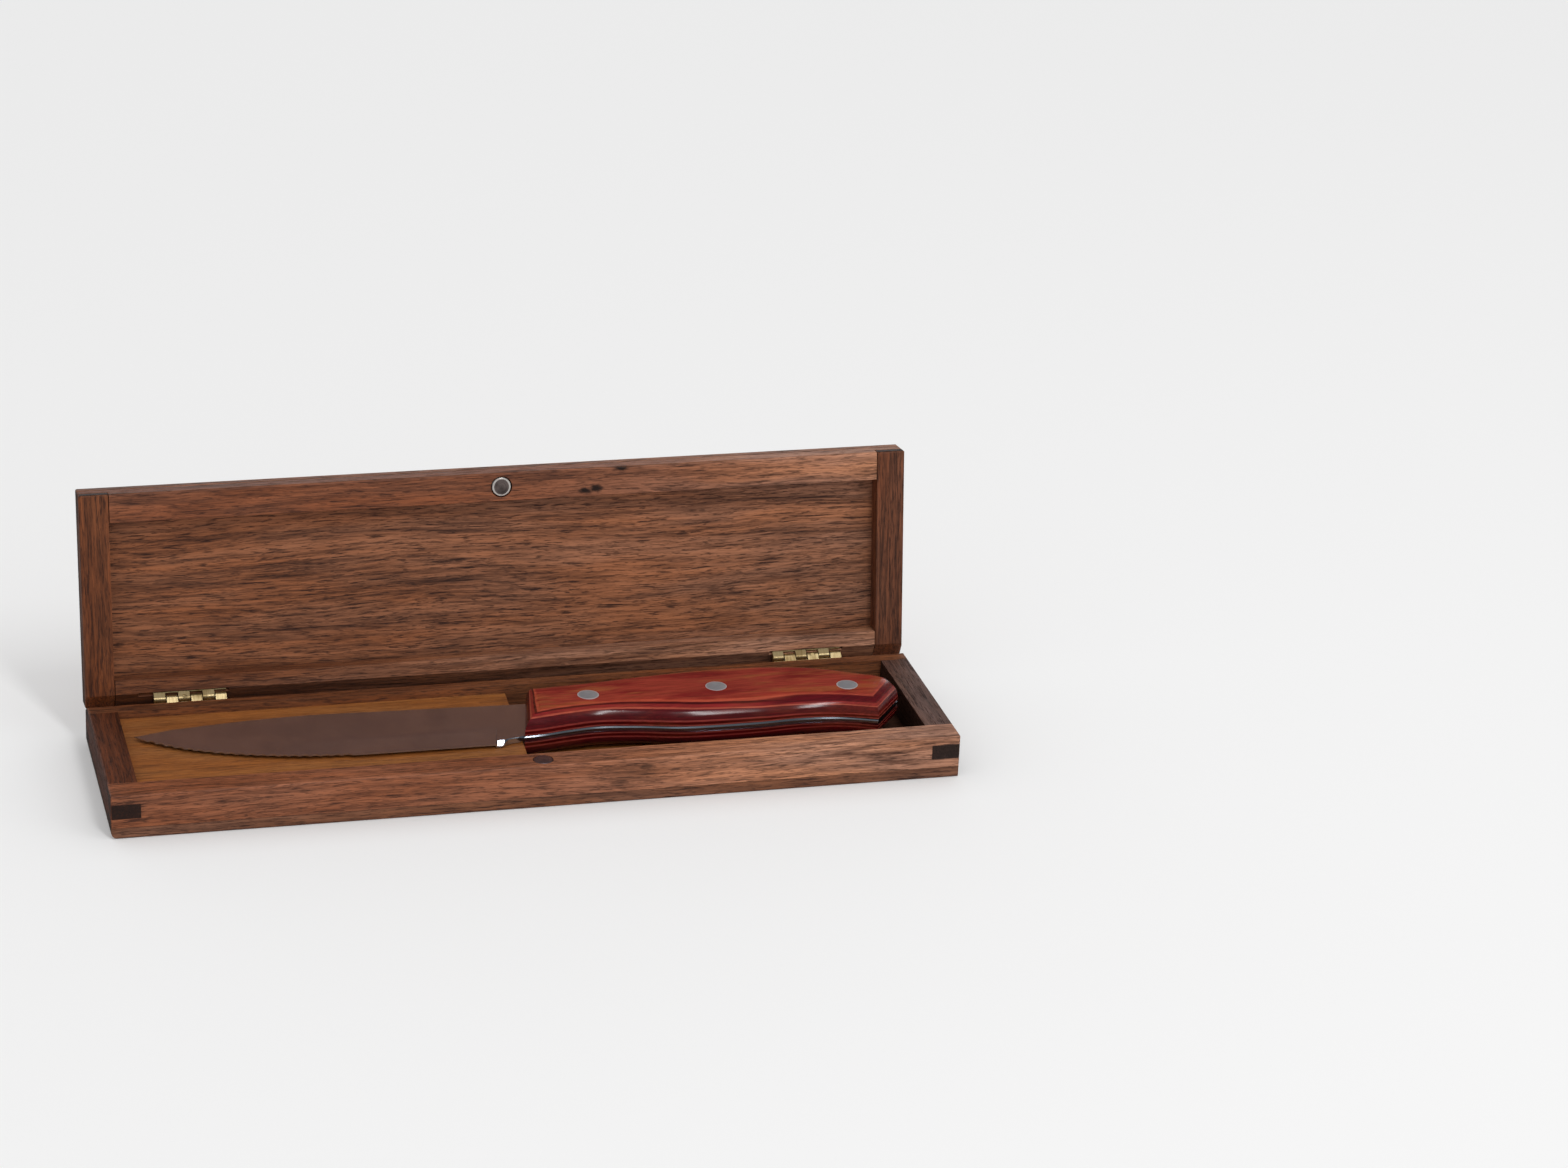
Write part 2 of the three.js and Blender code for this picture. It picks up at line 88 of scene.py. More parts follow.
def soft_lamp(name, place, aim, size, power, mirrored=True):
    """A rectangular lamp, (width, height), aimed at a point; gloss shows it only if it is mirrored."""
    lamp = bpy.data.lights.new(name, "AREA")
    lamp.shape = "RECTANGLE"
    lamp.size, lamp.size_y = size
    lamp.energy = power
    toward = (Vector(aim) - Vector(place)).to_track_quat("-Z", "Y").to_matrix().to_4x4()
    stand = bpy.data.objects.new(name, lamp)
    stand.matrix_world = Matrix.Translation(place) @ toward
    stand.visible_camera = False
    stand.visible_glossy = mirrored
    bpy.context.scene.collection.objects.link(stand)


soft_lamp("high softbox", (0.42, -1.45, 1.98), (0, 0, 0.02), (0.26, 1.2), 14)
soft_lamp("right softbox", (1.6, -1.3, 1.0), (0, 0, 0.03), (1.2, 1.0), 5, mirrored=False)
soft_lamp("lit backdrop", (0.0, 2.6, 0.55), (0, 0, 0.3), (3.6, 1.0), 10)

bpy.context.scene.view_settings.view_transform = "Standard"
white = (1, 1, 1, 1)
sky_on_things, sky_in_view, sky_in_gloss = 0.78, 0.88, 0.11
sky = bpy.data.worlds.new("studio")
bpy.context.scene.world = sky
sky.use_nodes = True
tree = sky.node_tree
tree.nodes.clear()
rays = node(tree, "ShaderNodeLightPath")
seen = node(tree, "ShaderNodeMath", rays.outputs["Is Camera Ray"], rays.outputs["Is Transmission Ray"],
            operation="ADD", use_clamp=True)
level = node(tree, "ShaderNodeMapRange", seen.outputs[0], 0.0, 1.0, sky_on_things, sky_in_view)
dimmed = node(tree, "ShaderNodeMapRange", rays.outputs["Is Glossy Ray"], 0.0, 1.0, 1.0, sky_in_gloss)
level = node(tree, "ShaderNodeMath", level.outputs[0], dimmed.outputs[0], operation="MULTIPLY")
glow = node(tree, "ShaderNodeBackground", white, level.outputs[0])
node(tree, "ShaderNodeOutputWorld", glow.outputs[0])

floor_size = 8.0
table_tone, table_in_gloss = 0.85, 0.25
table_glow, glow_share = 1.15, 0.08
half = floor_size / 2
corners = [(-half, -half, 0), (half, -half, 0), (half, half, 0), (-half, half, 0)]
floor_mesh = bpy.data.meshes.new("floor")
floor_mesh.from_pydata(corners, [], [(0, 1, 2, 3)])
floor = bpy.data.objects.new("floor", floor_mesh)
bpy.context.scene.collection.objects.link(floor)
paper = bpy.data.materials.new("pale table")
paper.use_nodes = True
tree = paper.node_tree
tree.nodes.clear()
rays = node(tree, "ShaderNodeLightPath")
tone = node(tree, "ShaderNodeMapRange", rays.outputs["Is Glossy Ray"], 0.0, 1.0, table_tone, table_in_gloss)
matt = node(tree, "ShaderNodeBsdfDiffuse", tone.outputs[0])
glow = node(tree, "ShaderNodeEmission", white, table_glow)
share = node(tree, "ShaderNodeMath", rays.outputs["Is Camera Ray"], glow_share, operation="MULTIPLY")
both = node(tree, "ShaderNodeMixShader", share.outputs[0], matt.outputs[0], glow.outputs[0])
node(tree, "ShaderNodeOutputMaterial", both.outputs[0])
floor_mesh.materials.append(paper)


# Long rails and boards: walnut sawn along the grain, planed, glued up at the corners and oiled to a satin.
# Every stick comes from its own place in the log, so rings, streaks and open pores run differently in each.
# The lid's sticks lie as the lid stands open, turned back about the hinge pins.
def shader_group(name, inputs, outputs):
    """An empty shader group with named inputs (name, kind, value) and outputs (name, kind)."""
    tree = bpy.data.node_groups.new(name, "ShaderNodeTree")
    for label, kind, value in inputs:
        socket = tree.interface.new_socket(label, in_out="INPUT", socket_type="NodeSocket" + kind)
        socket.default_value = value
    for label, kind in outputs:
        tree.interface.new_socket(label, in_out="OUTPUT", socket_type="NodeSocket" + kind)
    return tree, node(tree, "NodeGroupInput"), node(tree, "NodeGroupOutput")


def maths(tree, operation, *feeds):
    """One operation on values, by its name."""
    return node(tree, "ShaderNodeMath", *feeds, operation=operation).outputs[0]


def vectors(tree, operation, *feeds):
    """One operation on vectors, by its name."""
    return node(tree, "ShaderNodeVectorMath", *feeds, operation=operation).outputs[0]


def length_of(tree, vector):
    """A vector's length as a value."""
    return node(tree, "ShaderNodeVectorMath", vector, operation="LENGTH").outputs["Value"]


def span(tree, value, low, high, to_low=0.0, to_high=1.0):
    """Value carried from the stretch low..high to to_low..to_high, smooth and held at both ends."""
    return node(tree, "ShaderNodeMapRange", value, low, high, to_low, to_high,
                interpolation_type="SMOOTHSTEP").outputs[0]


def noise(tree, vector, scale, detail, roughness=0.5):
    """Noise of a point whose axes are first scaled by the three numbers, one lump about 1/scale long."""
    stretched = vectors(tree, "MULTIPLY", vector, scale)
    return node(tree, "ShaderNodeTexNoise", stretched, None, 1.0, detail, roughness)


def patches(tree, vector, scale, detail, roughness, low, high, to_low=0.0, to_high=1.0):
    """Noise whose value is carried by span, so that patches with soft edges stand out of it."""
    lumps = noise(tree, vector, scale, detail, roughness).outputs[0]
    return span(tree, lumps, low, high, to_low, to_high)


def blend(tree, share, low, high, kind="MIX"):
    """Colour low carried to colour high by a share from 0 to 1; the node's colours are inputs 6 and 7."""
    mixed = node(tree, "ShaderNodeMix", data_type="RGBA", blend_type=kind)
    for place, feed in ((0, share), (6, low), (7, high)):
        if isinstance(feed, bpy.types.NodeSocket):
            tree.links.new(feed, mixed.inputs[place])
        else:
            mixed.inputs[place].default_value = feed
    return mixed.outputs[2]


def weigh(tree, *parts):
    """Sum of values, each multiplied by its weight; parts are (value, weight) pairs."""
    total = 0.0
    for value, weight in parts:
        total = maths(tree, "MULTIPLY_ADD", value, weight, total)
    return total


def grain_of_wood():
    """Shader group of a log whose pith runs along X through the zero point, in millimetres.

    The point first sways across the log. Rings are the distance from the pith over the ring width, darkest
    late in each ring. The depth from the light colour to the dark one is a weighed sum of rings and
    streaks, and pores, knots with painted shade, and end grain are then laid over it."""
    tree, given, result = shader_group(
        "wood grain",
        [("Point", "Vector", (0, 0, 0)), ("Facing", "Vector", (0, 0, 1)), ("Light", "Color", white),
         ("Dark", "Color", (0, 0, 0, 1)), ("Figure", "Float", 1.0), ("Ring Width", "Float", 5.0),
         ("Streaks", "Float", 1.0), ("Pores", "Float", 1.0), ("Paleness", "Float", 0.0),
         ("Knot And Painted Shade", "Float", 0.0)],
        [("Color", "Color"), ("Roughness", "Float"), ("Height", "Float")])
    point = given.outputs["Point"]
    # The pale colour is the wood's paler tone, raised partly as a painted sheen that lightens the lid's
    # upward edge.
    pale_wood_and_sheen, warm_tint = srgb(218, 162, 132), (1.0, 0.88, 0.72, 1)
    pore_dark, knot_and_shade_dark = (0.022, 0.008, 0.006, 1), (0.010, 0.005, 0.004, 1)
    end_dark = (0.016, 0.008, 0.006, 1)

    def sway(scale, reach):
        """Push across the log, up to half of reach each way, in lumps about 1/scale long."""
        lumps = noise(tree, point, scale, 2).outputs[1]
        centred = vectors(tree, "SUBTRACT", lumps, (0.5, 0.5, 0.5))
        return vectors(tree, "MULTIPLY", centred, (0, reach, reach))

    flow = vectors(tree, "ADD", point, sway((0.008, 0.03, 0.03), 7))
    flow = vectors(tree, "ADD", flow, sway((0.045, 0.16, 0.16), 1.1))
    from_pith = length_of(tree, vectors(tree, "MULTIPLY", flow, (0.06, 1, 1)))
    in_ring = maths(tree, "FRACT", maths(tree, "DIVIDE", from_pith, given.outputs["Ring Width"]))
    late = maths(tree, "SUBTRACT", maths(tree, "POWER", in_ring, 2.5), span(tree, in_ring, 0.93, 1.0))

    broad = patches(tree, flow, (0.008, 0.16, 0.16), 3, 0.55, 0.34, 0.66)
    streak = patches(tree, flow, (0.018, 0.5, 0.5), 4, 0.7, 0.36, 0.66)
    thread = patches(tree, flow, (0.045, 1.05, 1.05), 3, 0.7, 0.36, 0.64)
    fibre = patches(tree, flow, (0.1, 2.2, 2.2), 3, 0.75, 0.32, 0.68)
    cloud = patches(tree, point, (0.012, 0.05, 0.05), 2, 0.5, 0.3, 0.7)
    ringed = maths(tree, "MULTIPLY", given.outputs["Figure"], 0.2)
    streaked = maths(tree, "MULTIPLY", given.outputs["Streaks"], 0.2)
    depth = weigh(tree, (late, ringed), (broad, streaked), (streak, streaked), (cloud, 0.12), (thread, 0.42),
                  (fibre, 0.32))
    paled = maths(tree, "MULTIPLY", given.outputs["Paleness"], 0.7)
    light = blend(tree, paled, given.outputs["Light"], pale_wood_and_sheen)
    wood = blend(tree, maths(tree, "SUBTRACT", depth, 0.26), light, given.outputs["Dark"])
    warm = patches(tree, flow, (0.015, 0.13, 0.13), 3, 0.5, 0.36, 0.66)
    wood = blend(tree, warm, wood, warm_tint, "MULTIPLY")

    open_pore = patches(tree, flow, (0.09, 1.5, 1.5), 3, 0.65, 0.56, 0.66)
    fine_pore = patches(tree, flow, (0.22, 2.4, 2.4), 2, 0.6, 0.54, 0.66)
    pore = maths(tree, "MAXIMUM", open_pore, maths(tree, "MULTIPLY", fine_pore, 0.8))
    dark_pore = maths(tree, "MULTIPLY", pore, maths(tree, "MULTIPLY", given.outputs["Pores"], 0.72))
    wood = blend(tree, dark_pore, wood, pore_dark)
    # Dark knots, and painted shade, laid over the wood.
    wood = blend(tree, given.outputs["Knot And Painted Shade"], wood, knot_and_shade_dark)
    along = node(tree, "ShaderNodeSeparateXYZ", given.outputs["Facing"]).outputs[0]
    end_grain = span(tree, maths(tree, "ABSOLUTE", along), 0.75, 0.97)
    speck = patches(tree, point, (1.2, 1.5, 1.5), 3, 0.7, 0.4, 0.7, 0.9, 0.72)
    wood = blend(tree, maths(tree, "MULTIPLY", end_grain, speck), wood, end_dark)

    tree.links.new(wood, result.inputs["Color"])
    tree.links.new(weigh(tree, (pore, 0.22), (fibre, 0.08), (1.0, 0.44)), result.inputs["Roughness"])
    tree.links.new(weigh(tree, (fibre, 0.25), (pore, -1.0), (late, 0.15)), result.inputs["Height"])
    return tree


wood_grain = grain_of_wood()


def knots_and_painted_shade(tree, place, on_piece, knots, hole, painted_shade):
    """Share of darkness: the most of a knot, painted shade round a hole and painted shade by facing."""
    gap_shade_end, gap_shade_darkness = 1.17, 0.92
    knot_and_shade_share = 0.0
    for centre, half_sizes, darkness in knots:
        from_centre = vectors(tree, "SUBTRACT", place.outputs["Object"], centre)
        reach = length_of(tree, vectors(tree, "DIVIDE", from_centre, half_sizes))
        ragged = noise(tree, on_piece, (0.6, 1.2, 1.2), 3, 0.6).outputs[0]
        knot = span(tree, weigh(tree, (reach, 1.0), (ragged, 1.3)), 1.0, 1.95, darkness, 0.0)
        knot_and_shade_share = maths(tree, "MAXIMUM", knot, knot_and_shade_share)
    # Painted shade: a dark ring round the hole, for the shaded gap round a magnet.
    if hole:
        centre, radius = hole
        reach = length_of(tree, vectors(tree, "SUBTRACT", place.outputs["Object"], centre))
        ring = span(tree, reach, radius, radius * gap_shade_end, gap_shade_darkness, 0.0)
        knot_and_shade_share = maths(tree, "MAXIMUM", ring, knot_and_shade_share)
    # Painted shade on faces that point the given way, where they lie in shade.
    if painted_shade:
        way, darkness = painted_shade
        aside = length_of(tree, vectors(tree, "SUBTRACT", place.outputs["Normal"], way))
        knot_and_shade_share = maths(tree, "MAXIMUM", span(tree, aside, 0.1, 0.3, darkness, 0.0), knot_and_shade_share)
    return knot_and_shade_share


in_millimetres = (1000, 1000, 1000)


def wooden(name, light, dark, cut, turn=(0, 0, 0), figure=1.0, ring_width=5.0, streaks=1.0, pores=1.0,
           pale_from=None, knots=(), hole=None, painted_shade=None, polish=0.0):
    """A wood with its grain along X after the turn, in degrees, from a place in the log, in millimetres.

    It grows paler between the two X places of pale_from. Knots are ellipsoids, each given by its centre and
    half sizes, in metres, and its darkness. A painted shade darkens the wood in a ring round the hole,
    (centre, radius), for the shaded gap round a magnet, and on faces that point one way, (way, darkness),
    for places that lie in shade."""
    relief, pore_depth = 0.45, 0.00012
    made = bpy.data.materials.new(name)
    made.use_nodes = True
    tree = made.node_tree
    tree.nodes.clear()
    place = node(tree, "ShaderNodeTexCoord")
    turned = Euler([math.radians(angle) for angle in turn])
    on_piece = node(tree, "ShaderNodeMapping", place.outputs["Object"], cut, turned, in_millimetres)
    facing = node(tree, "ShaderNodeMapping", place.outputs["Normal"], (0, 0, 0), turned,
                  vector_type="VECTOR")
    grain = node(tree, "ShaderNodeGroup", node_tree=wood_grain)
    tree.links.new(on_piece.outputs[0], grain.inputs["Point"])
    tree.links.new(facing.outputs[0], grain.inputs["Facing"])
    for label, value in (("Light", light), ("Dark", dark), ("Figure", figure), ("Ring Width", ring_width),
                         ("Streaks", streaks), ("Pores", pores)):
        grain.inputs[label].default_value = value
    if pale_from:
        on_x = node(tree, "ShaderNodeSeparateXYZ", place.outputs["Object"]).outputs[0]
        tree.links.new(span(tree, on_x, *pale_from), grain.inputs["Paleness"])
    if knots or hole or painted_shade:
        knot_and_shade_share = knots_and_painted_shade(tree, place, on_piece.outputs[0], knots, hole, painted_shade)
        tree.links.new(knot_and_shade_share, grain.inputs["Knot And Painted Shade"])
    skin = node(tree, "ShaderNodeBsdfPrincipled")
    tree.links.new(grain.outputs["Color"], skin.inputs["Base Color"])
    tree.links.new(grain.outputs["Roughness"], skin.inputs["Roughness"])
    skin.inputs["Specular IOR Level"].default_value = 0.3
    skin.inputs["Coat Weight"].default_value = polish
    skin.inputs["Coat Roughness"].default_value = 0.25
    bump = node(tree, "ShaderNodeBump", relief, pore_depth)
    tree.links.new(grain.outputs["Height"], bump.inputs["Height"])
    tree.links.new(bump.outputs[0], skin.inputs["Normal"])
    node(tree, "ShaderNodeOutputMaterial", skin.outputs[0])
    return made


def finished(name, mesh, material, crease, body, stands_for):
    """A piece from its mesh, smooth up to the crease angle, which rides on a body in a CAD node's place."""
    mesh.shade_smooth()
    mesh.set_sharp_from_angle(angle=math.radians(crease))
    mesh.materials.append(material)
    piece = bpy.data.objects.new(name, mesh)
    bpy.context.scene.collection.objects.link(piece)
    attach(piece, body)
    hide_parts(stands_for)
    return piece


def worked(node_name, body, material, ease, crease=30):
    """A merged copy of a CAD node, with its flat faces made whole and its sharp corners eased, in metres."""
    seam, flat_within = 2e-6, 0.5
    bulk = bmesh.new()
    bulk.from_mesh(frame["nodes"][node_name].data)
    bmesh.ops.remove_doubles(bulk, verts=bulk.verts, dist=seam)
    bmesh.ops.dissolve_limit(bulk, angle_limit=math.radians(flat_within), verts=bulk.verts, edges=bulk.edges)
    mesh = bpy.data.meshes.new(node_name + "_worked")
    bulk.to_mesh(mesh)
    bulk.free()
    piece = finished(node_name + "_worked", mesh, material, crease, body, node_name)
    eased = piece.modifiers.new("eased corners", "BEVEL")
    eased.width = ease
    eased.segments = 2
    eased.limit_method = "ANGLE"
    eased.angle_limit = math.radians(crease)
    level = piece.modifiers.new("flat faces", "WEIGHTED_NORMAL")
    level.keep_sharp = True


lid_hinge = next(joint for joint in frame["joints"] if joint["name"] == "lid_hinge")
hinge_line = np.array(lid_hinge["pos_m"][1:]) * 1000
lid_open = lid_hinge["range_deg"][1]


def opened(points):
    """Points of the closed lid, in millimetres, turned about the hinge line to where the lid stands open."""
    turn = -math.radians(lid_open)
    swing = np.array([[math.cos(turn), -math.sin(turn)], [math.sin(turn), math.cos(turn)]])
    moved = np.array(points, float)
    moved[..., 1:] = (moved[..., 1:] - hinge_line) @ swing.T + hinge_line
    return moved


rail_ease = 0.00012
front_face = -0.0365
swirl = [((0.028, front_face, 0.0095), (0.011, 0.004, 0.0042), 0.34),
         ((0.0335, front_face, 0.0118), (0.0034, 0.004, 0.0016), 0.62),
         ((0.025, front_face, 0.0068), (0.0042, 0.004, 0.0017), 0.5)]
wood = wooden("front rail walnut", srgb(163, 101, 70), srgb(72, 39, 26), cut=(40, 52, -14), figure=0.8,
              pale_from=(-0.02, 0.10), knots=swirl)
worked("base_front_rail", "base", wood, rail_ease)

wood = wooden("rear rail walnut", srgb(140, 86, 54), srgb(64, 36, 24), cut=(230, 18, 47))
worked("base_rear_rail", "base", wood, rail_ease)

# Painted shade: the upward faces, the case's inner floor, are darkened.
wood = wooden("board walnut", srgb(140, 94, 70), srgb(74, 46, 35), cut=(-160, 90, -30),
              painted_shade=((0, 0, 1), 0.75))
worked("base_bottom_board", "base", wood, rail_ease)

wood = wooden("lid board walnut", srgb(160, 102, 69), srgb(56, 31, 22), cut=(180, -13, -48),
              pale_from=(-0.14, 0.5), streaks=1.1, pores=1.2)
worked("lid_board", "lid", wood, rail_ease)

magnet_centre, magnet_radius = (0.0, -31.7), 3.175
base_rim, lid_rim = 15.0, 15.3
hole_clearance = 0.025
lid_magnet_at = opened((*magnet_centre, lid_rim))
rim_face = 0.0431
black_knots = [((0.0285, rim_face, 0.0775), (0.0026, 0.004, 0.0013), 0.95),
               ((0.0322, rim_face, 0.0782), (0.0024, 0.004, 0.0015), 0.95),
               ((0.041, rim_face, 0.0843), (0.003, 0.004, 0.0008), 0.95)]
magnet_hole = (tuple(lid_magnet_at / 1000), (magnet_radius + hole_clearance) / 1000)
# Painted shade: a dark ring round the magnet's hole stands for the shaded gap round the disc.
wood = wooden("lid top rail walnut", srgb(148, 89, 59), srgb(60, 33, 23), cut=(-420, 5, -60),
              pale_from=(0.0, 0.16), knots=black_knots, hole=magnet_hole)
worked("lid_front_rail", "lid", wood, rail_ease)

groove_depth, groove_rise = 4.8, 3.05
groove_face = opened((0, groove_rise, -groove_depth)) - opened((0, 0, 0))
groove_face = tuple(groove_face / np.linalg.norm(groove_face))
# Painted shade: the slope of the hinge groove is darkened, for the shade under the lid's rim.
wood = wooden("lid hinge rail walnut", srgb(134, 82, 53), srgb(62, 33, 22), cut=(900, -35, 38),
              pale_from=(-0.12, 0.10), painted_shade=(groove_face, 0.4))
worked("lid_rear_rail", "lid", wood, rail_ease)


# End rails: darker walnut, with the grain running front to back.
# Each one's key passes through the long rails, so its end grain shows there as a dark block.
end_turn, lid_end_turn = (0, 0, 90), (lid_open, 0, 90)
wood = wooden("left end walnut", srgb(108, 58, 34), srgb(50, 26, 16), cut=(33, 20, 77), turn=end_turn)
worked("base_left_rail", "base", wood, rail_ease)

# Painted shade: faces that point left, inside the case's right end, are darkened.
wood = wooden("right end walnut", srgb(112, 82, 74), srgb(60, 44, 40), cut=(310, 50, -7), turn=end_turn,
              painted_shade=((-1, 0, 0), 0.75))
worked("base_right_rail", "base", wood, rail_ease)

wood = wooden("lid left walnut", srgb(134, 76, 42), srgb(56, 28, 16), cut=(70, -12, 9), turn=lid_end_turn)
worked("lid_left_rail", "lid", wood, rail_ease)

wood = wooden("lid right walnut", srgb(132, 78, 51), srgb(58, 33, 22), cut=(510, 4, 19),
              turn=lid_end_turn)
worked("lid_right_rail", "lid", wood, rail_ease)


# Blade block: an insert of paler, finer wood, sawn across at its right end and fitted into the base's left.
# The blade lies on its top, and a thin low bed runs on from it under the handle.
wood = wooden("block wood", srgb(166, 106, 54), srgb(102, 60, 28), cut=(150, 40, 120), figure=0.5,
              ring_width=3.0, streaks=0.9, pores=0.5, polish=0.5)
worked("blade_block", "base", wood, rail_ease)


# Magnets: two nickel plated discs pressed into the front rails' rims, one in the base and one in the lid.
# Handling has dulled the plating, and the lid's disc has a painted highlight on its rounded edge.
def net(rows, columns, start=0, closed=False):
    """Faces of a grid of points numbered row by row; a closed grid joins its last column to its first."""
    row = np.arange(rows - 1)[:, None]
    column = np.arange(columns if closed else columns - 1)[None, :]
    onward = (column + 1) % columns
    near, far = row * columns, (row + 1) * columns
    corners = [near + column, near + onward, far + onward, far + column]
    return start + np.stack(corners, axis=-1).reshape(-1, 4)


def form(name, points, faces, body, stands_for, slot, material, crease):
    """A piece from points in millimetres and faces, with its poles merged and its faces outwards."""
    seam = 1e-6
    mesh = bpy.data.meshes.new(name)
    mesh.from_pydata((np.asarray(points) / 1000).tolist(), [], np.asarray(faces).tolist())
    bulk = bmesh.new()
    bulk.from_mesh(mesh)
    bmesh.ops.remove_doubles(bulk, verts=bulk.verts, dist=seam)
    bmesh.ops.recalc_face_normals(bulk, faces=bulk.faces)
    bulk.to_mesh(mesh)
    bulk.free()
    finished(name, mesh, material, crease, body, stands_for)


def lathed(centre, profile, steps=64):
    """A profile of (radius, height) pairs turned round an upright line through the centre."""
    turn = np.linspace(0, 2 * np.pi, steps, endpoint=False)[None, :]
    radius, height = np.array(profile, float).T[:, :, None]
    points = np.stack([centre[0] + radius * np.cos(turn), centre[1] + radius * np.sin(turn),
                       np.broadcast_to(height, radius.shape[:1] + turn.shape[1:])], axis=-1)
    return points.reshape(-1, 3), net(len(profile), steps, closed=True)


def disc_profile(radius, low, high, edge):
    """Half outline of a disc from lower pole to upper pole, with quarter circles of the edge's radius."""
    turn = np.linspace(0, np.pi / 2, 7)
    out = radius - edge + edge * np.sin(turn)
    drop = edge - edge * np.cos(turn)
    lower = np.stack([out, low + drop], axis=1)
    upper = np.stack([out, high - drop], axis=1)[::-1]
    return np.vstack([[(0, low), (radius * 0.5, low)], lower, upper, [(radius * 0.5, high), (0, high)]])


def marked_metal(name, light, dark, roughness, line_scale, tarnish, axis_at=(0, 0, 0), axis_turn=(0, 0, 0),
                 lined=0.45, turned=False, rim=None, relief=0.2, metallic=1.0):
    """Metal worn by handling: clouds of tarnish and fine lines, straight or turned round an axis.

    Its rim, (radius, colour), takes that colour past the radius, in millimetres. On the lid's magnet that
    colour is a painted highlight."""
    line_depth, rim_in, rim_out = 0.00001, 0.12, 0.08
    made = bpy.data.materials.new(name)
    made.use_nodes = True
    tree = made.node_tree
    skin = tree.nodes["Principled BSDF"]
    place = node(tree, "ShaderNodeTexCoord")
    moved = vectors(tree, "SUBTRACT", place.outputs["Object"], tuple(part / 1000 for part in axis_at))
    angles = Euler([math.radians(angle) for angle in axis_turn])
    spot = node(tree, "ShaderNodeMapping", moved, (0, 0, 0), angles, in_millimetres).outputs[0]
    out = length_of(tree, vectors(tree, "MULTIPLY", spot, (1, 1, 0)))
    if turned:
        lines = node(tree, "ShaderNodeTexNoise", None, maths(tree, "MULTIPLY", out, line_scale[0]), 1.0, 2.0,
                     0.7, noise_dimensions="1D").outputs[0]
    else:
        lines = noise(tree, spot, line_scale, 3, 0.65).outputs[0]
    lines = span(tree, lines, 0.3, 0.7)
    cloud = patches(tree, spot, (0.22, 0.22, 0.22), 2, 0.5, 0.35, 0.7)
    tone = blend(tree, weigh(tree, (lines, lined), (cloud, tarnish)), light, dark)
    if rim:
        radius, colour = rim
        tone = blend(tree, span(tree, out, radius - rim_in, radius + rim_out), tone, colour)
    tree.links.new(tone, skin.inputs["Base Color"])
    dulled = weigh(tree, (1.0, roughness - 0.05), (lines, lined * 0.15), (cloud, tarnish * 0.2))
    tree.links.new(dulled, skin.inputs["Roughness"])
    skin.inputs["Metallic"].default_value = metallic
    if relief:
        bump = node(tree, "ShaderNodeBump", relief, line_depth)
        tree.links.new(lines, bump.inputs["Height"])
        tree.links.new(bump.outputs[0], skin.inputs["Normal"])
    return made


magnet_thick, magnet_edge = 3.0, 0.35
turning = (2.5, 0, 0)
nickel = marked_metal("base magnet nickel", srgb(188, 172, 178), srgb(140, 124, 130), 0.45, turning, 0.5,
                      axis_at=(*magnet_centre, base_rim), turned=True)
outline = disc_profile(magnet_radius, base_rim - magnet_thick, base_rim, magnet_edge)
points, faces = lathed(magnet_centre, outline)
form("base_magnet_disc", points, faces, "base", "base_magnet", "magnet", nickel, 50)

# The lid disc's pale rim colour is a painted highlight on its rounded edge.
nickel = marked_metal("lid magnet nickel", srgb(134, 120, 116), srgb(66, 58, 56), 0.3, turning, 0.6,
                      axis_at=lid_magnet_at, axis_turn=(-lid_open, 0, 0), turned=True,
                      rim=(2.55, srgb(240, 234, 228)), metallic=0.6)
outline = disc_profile(magnet_radius, lid_rim, lid_rim + magnet_thick, magnet_edge)
points, faces = lathed(magnet_centre, outline)
form("lid_magnet_disc", opened(points), faces, "lid", "lid_magnet", "magnet", nickel, 50)


# Hinges: two small brass ones, whose rolled leaves are pressed into saw kerfs in the rear rails.
# A pin runs through their knuckles. The brass is bright, with the fine lines that rolling leaves round it.
metal_ease = 0.00008
brass = marked_metal("brass", srgb(228, 206, 158), srgb(184, 156, 106), 0.42, (2.8, 0.25, 0.25), 0.55,
                     axis_at=(0, *hinge_line))
for side in ("left", "right"):
    worked(f"{side}_hinge_base_leaf", "base", brass, metal_ease)
    worked(f"{side}_hinge_lid_leaf", "lid", brass, metal_ease)
    worked(f"{side}_hinge_pin", "base", brass, metal_ease)


# Knife blade: one steel plate, ground thin on both faces toward its edge, with serrations from near the tip
# to past its middle and a plain stretch before the heel. Its tang runs the length of the handle, and the
# tang's polished edge shows between the riveted scales.
def bezier(points, share):
    """Cubic curve of four points, which each share t weighs (1-t)^3, 3t(1-t)^2, 3t^2(1-t) and t^3."""
    a, b, c, d = np.array(points, float)
    t = share[:, None]
    return (1 - t) ** 3 * a + 3 * t * (1 - t) ** 2 * b + 3 * t ** 2 * (1 - t) * c + t ** 3 * d


def through(points, count):
    """Smooth curve through points: cubics that slope at each point as the line between its neighbours."""
    given = np.array(points, float)
    held = np.vstack([given[:1], given, given[-1:]])
    place = np.linspace(0, len(given) - 1, count)
    k = np.minimum(place.astype(int), len(given) - 2)
    t = (place - k)[:, None]
    before, start, end, after = held[k], held[k + 1], held[k + 2], held[k + 3]
    leave, arrive = (end - before) / 2, (after - start) / 2
    return ((2 * start - 2 * end + leave + arrive) * t ** 3
            + (3 * end - 3 * start - 2 * leave - arrive) * t ** 2 + leave * t + start)


def along_line(points, places):
    """Points of a line at shares of its length, with the length measured from corner to corner."""
    run = np.concatenate([[0], np.cumsum(np.linalg.norm(np.diff(points, axis=0), axis=1))])
    return np.stack([np.interp(places * run[-1], run, points[:, axis]) for axis in (0, 1)], axis=1)


